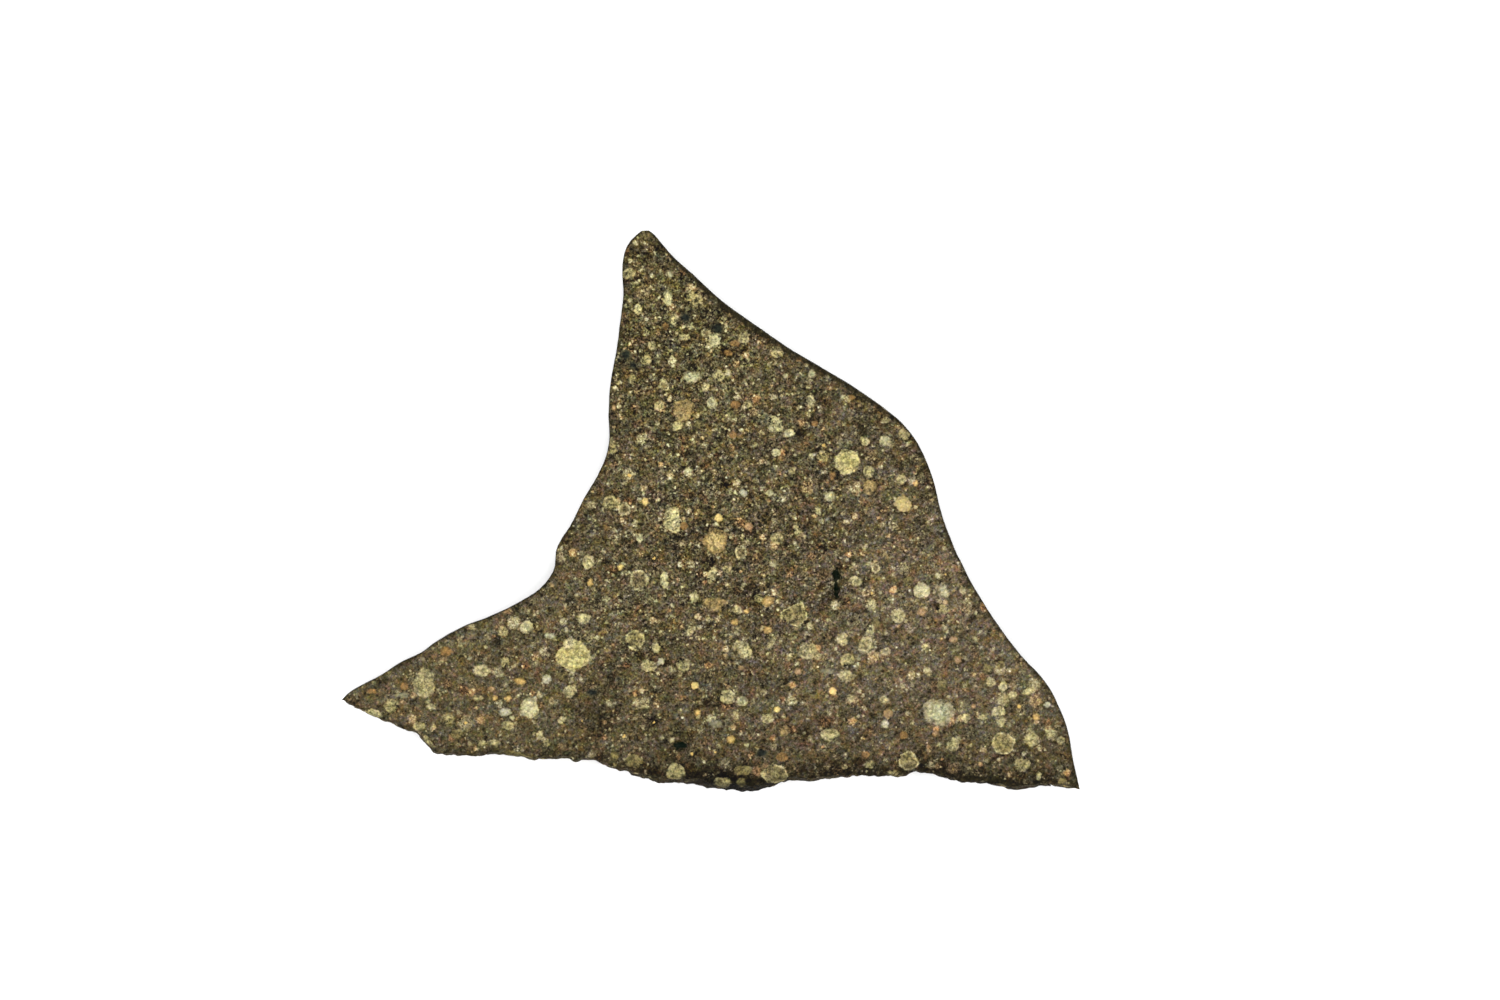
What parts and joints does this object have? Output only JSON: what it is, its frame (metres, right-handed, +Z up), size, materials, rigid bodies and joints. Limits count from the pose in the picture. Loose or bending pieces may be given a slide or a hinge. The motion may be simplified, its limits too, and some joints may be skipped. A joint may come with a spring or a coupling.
{
  "type": "chondrite meteorite slice",
  "caption": "Thin sawn slice of a stony meteorite with a crusted natural rim, a broken lower edge and pale round grains in dark stone.",
  "frame": {"origin": "middle of the slice's box, on the back face it lies on", "axes": "+Z up out of the front face, +Y towards the slice's peak, +X towards its lower right corner"},
  "size_m": [0.05, 0.038, 0.003],
  "materials": {
    "chondrite_stone": "sawn and lightly polished dark olive-brown matrix, packed with pale yellow, grey-green, tan and rust grains and a few gold metal flecks; black-brown crust on the rim, rough on the broken edge"
  },
  "bodies": {
    "root": {"chondrite_slice": "chondrite_stone"}
  },
  "joints": []
}
